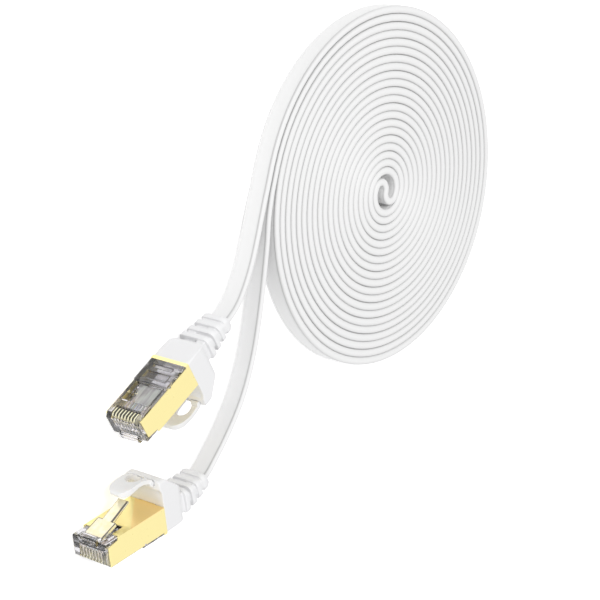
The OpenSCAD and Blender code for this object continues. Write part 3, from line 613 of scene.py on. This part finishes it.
for end in "ab":
    clear_bar, *_ = clear_moulding(
        "clear_load_bar", end, [(0.35, "#F4F4F8"), (0.65, "#FFFFFF")],
        Roughness=0.05, Transmission_Weight=1.0)
    dress(nodes[f"plug_{end}_load_bar"], clear_bar)

# ---------------------------------------------------------------- inner mouldings
# Hard white polyethylene is shot round the crimp before the boot, and locks cable and shield
# together. It is matt, and the boot hides it.

inner_pe, shader = new_material(
    "hard_white_polyethylene", Base_Color=linear("#E9E9E9"), Roughness=0.55)
fine_bump(inner_pe, shader, size=0.0006, depth=0.00002)
for end in "ab":
    dress(nodes[f"plug_{end}_inner_mould"], inner_pe)

# ---------------------------------------------------------------- jacket ends
# The cable's own jacket goes on into the boot and ends inside the crimp, so these pieces have the
# cable's PVC. The boot and the inner moulding hide them.

for end in "ab":
    dress(nodes[f"plug_{end}_jacket_end"], jacket_pvc)

# ---------------------------------------------------------------- floor
# A wide sheet of white paper, just under the cable. Paper is matt and even. Seen directly, in a
# reflection or through clear plastic it is lifted to white, and it still keeps the shadow.

floor_half, floor_z = 4, -0.0001
floor_glow = 0.45


def seen_directly(material):
    """1 for a ray from the camera, a reflection or clear plastic, and 0 for one that lights."""
    ray = add_node(material, "ShaderNodeLightPath")
    seen = ray.outputs["Is Camera Ray"]
    for kind in ("Is Glossy Ray", "Is Transmission Ray"):
        seen = add_node(material, "ShaderNodeMath", {0: seen, 1: ray.outputs[kind]},
                        operation="MAXIMUM")
    return seen


corners = [(-1, -1), (1, -1), (1, 1), (-1, 1)]
floor_mesh = bpy.data.meshes.new("floor")
floor_mesh.from_pydata([(floor_half * x, floor_half * y, floor_z) for x, y in corners],
                       [], [(0, 1, 2, 3)])
floor = bpy.data.objects.new("floor", floor_mesh)
bpy.context.scene.collection.objects.link(floor)
paper = bpy.data.materials.new("white_paper")
paper.use_nodes = True
paper.node_tree.nodes.clear()
matt_white = add_node(paper, "ShaderNodeBsdfDiffuse", {"Color": linear("#F0F0F0")})
glow = add_node(paper, "ShaderNodeEmission", {"Color": (1, 1, 1, 1), "Strength": floor_glow})
lifted = add_node(paper, "ShaderNodeAddShader", {0: matt_white, 1: glow})
mixed = add_node(paper, "ShaderNodeMixShader", {0: seen_directly(paper), 1: matt_white, 2: lifted})
add_node(paper, "ShaderNodeOutputMaterial", {"Surface": mixed})
floor_mesh.materials.append(paper)

# ---------------------------------------------------------------- white room
# The room is an even white all round. It shows as full white, and lights the object at less than
# that, so that pale surfaces keep their tone.

room_light, room_white = 0.62, 1.0
world = bpy.data.worlds.new("studio")
world.use_nodes = True
world.node_tree.nodes.clear()
bpy.context.scene.world = world
strength = add_node(world, "ShaderNodeMapRange", {
    "Value": seen_directly(world), "To Min": room_light, "To Max": room_white})
sky = add_node(world, "ShaderNodeBackground", {"Color": (1, 1, 1, 1), "Strength": strength})
add_node(world, "ShaderNodeOutputWorld", {"Surface": sky})
bpy.context.scene.view_settings.view_transform = "Standard"

# ---------------------------------------------------------------- lamps
# Two square softboxes: a large key lamp high up beside the camera, and a small weak one low down
# beside the plugs, which lifts their shaded sides.


def softbox(name, place, target, size, watts):
    """A square area lamp that faces a point."""
    lamp = bpy.data.lights.new(name, "AREA")
    lamp.size, lamp.energy = size, watts
    lamp_object = bpy.data.objects.new(name, lamp)
    bpy.context.scene.collection.objects.link(lamp_object)
    lamp_object.location = place
    direction = Vector(np.subtract(target, place))
    lamp_object.rotation_euler = direction.to_track_quat("-Z", "Y").to_euler()


softbox("key", place=(-0.45, 0.35, 0.85), target=(-0.03, -0.02, 0), size=0.5, watts=4.6)
softbox("fill", place=(-0.3, -0.25, 0.1), target=(-0.09, -0.08, 0), size=0.2, watts=0.2)
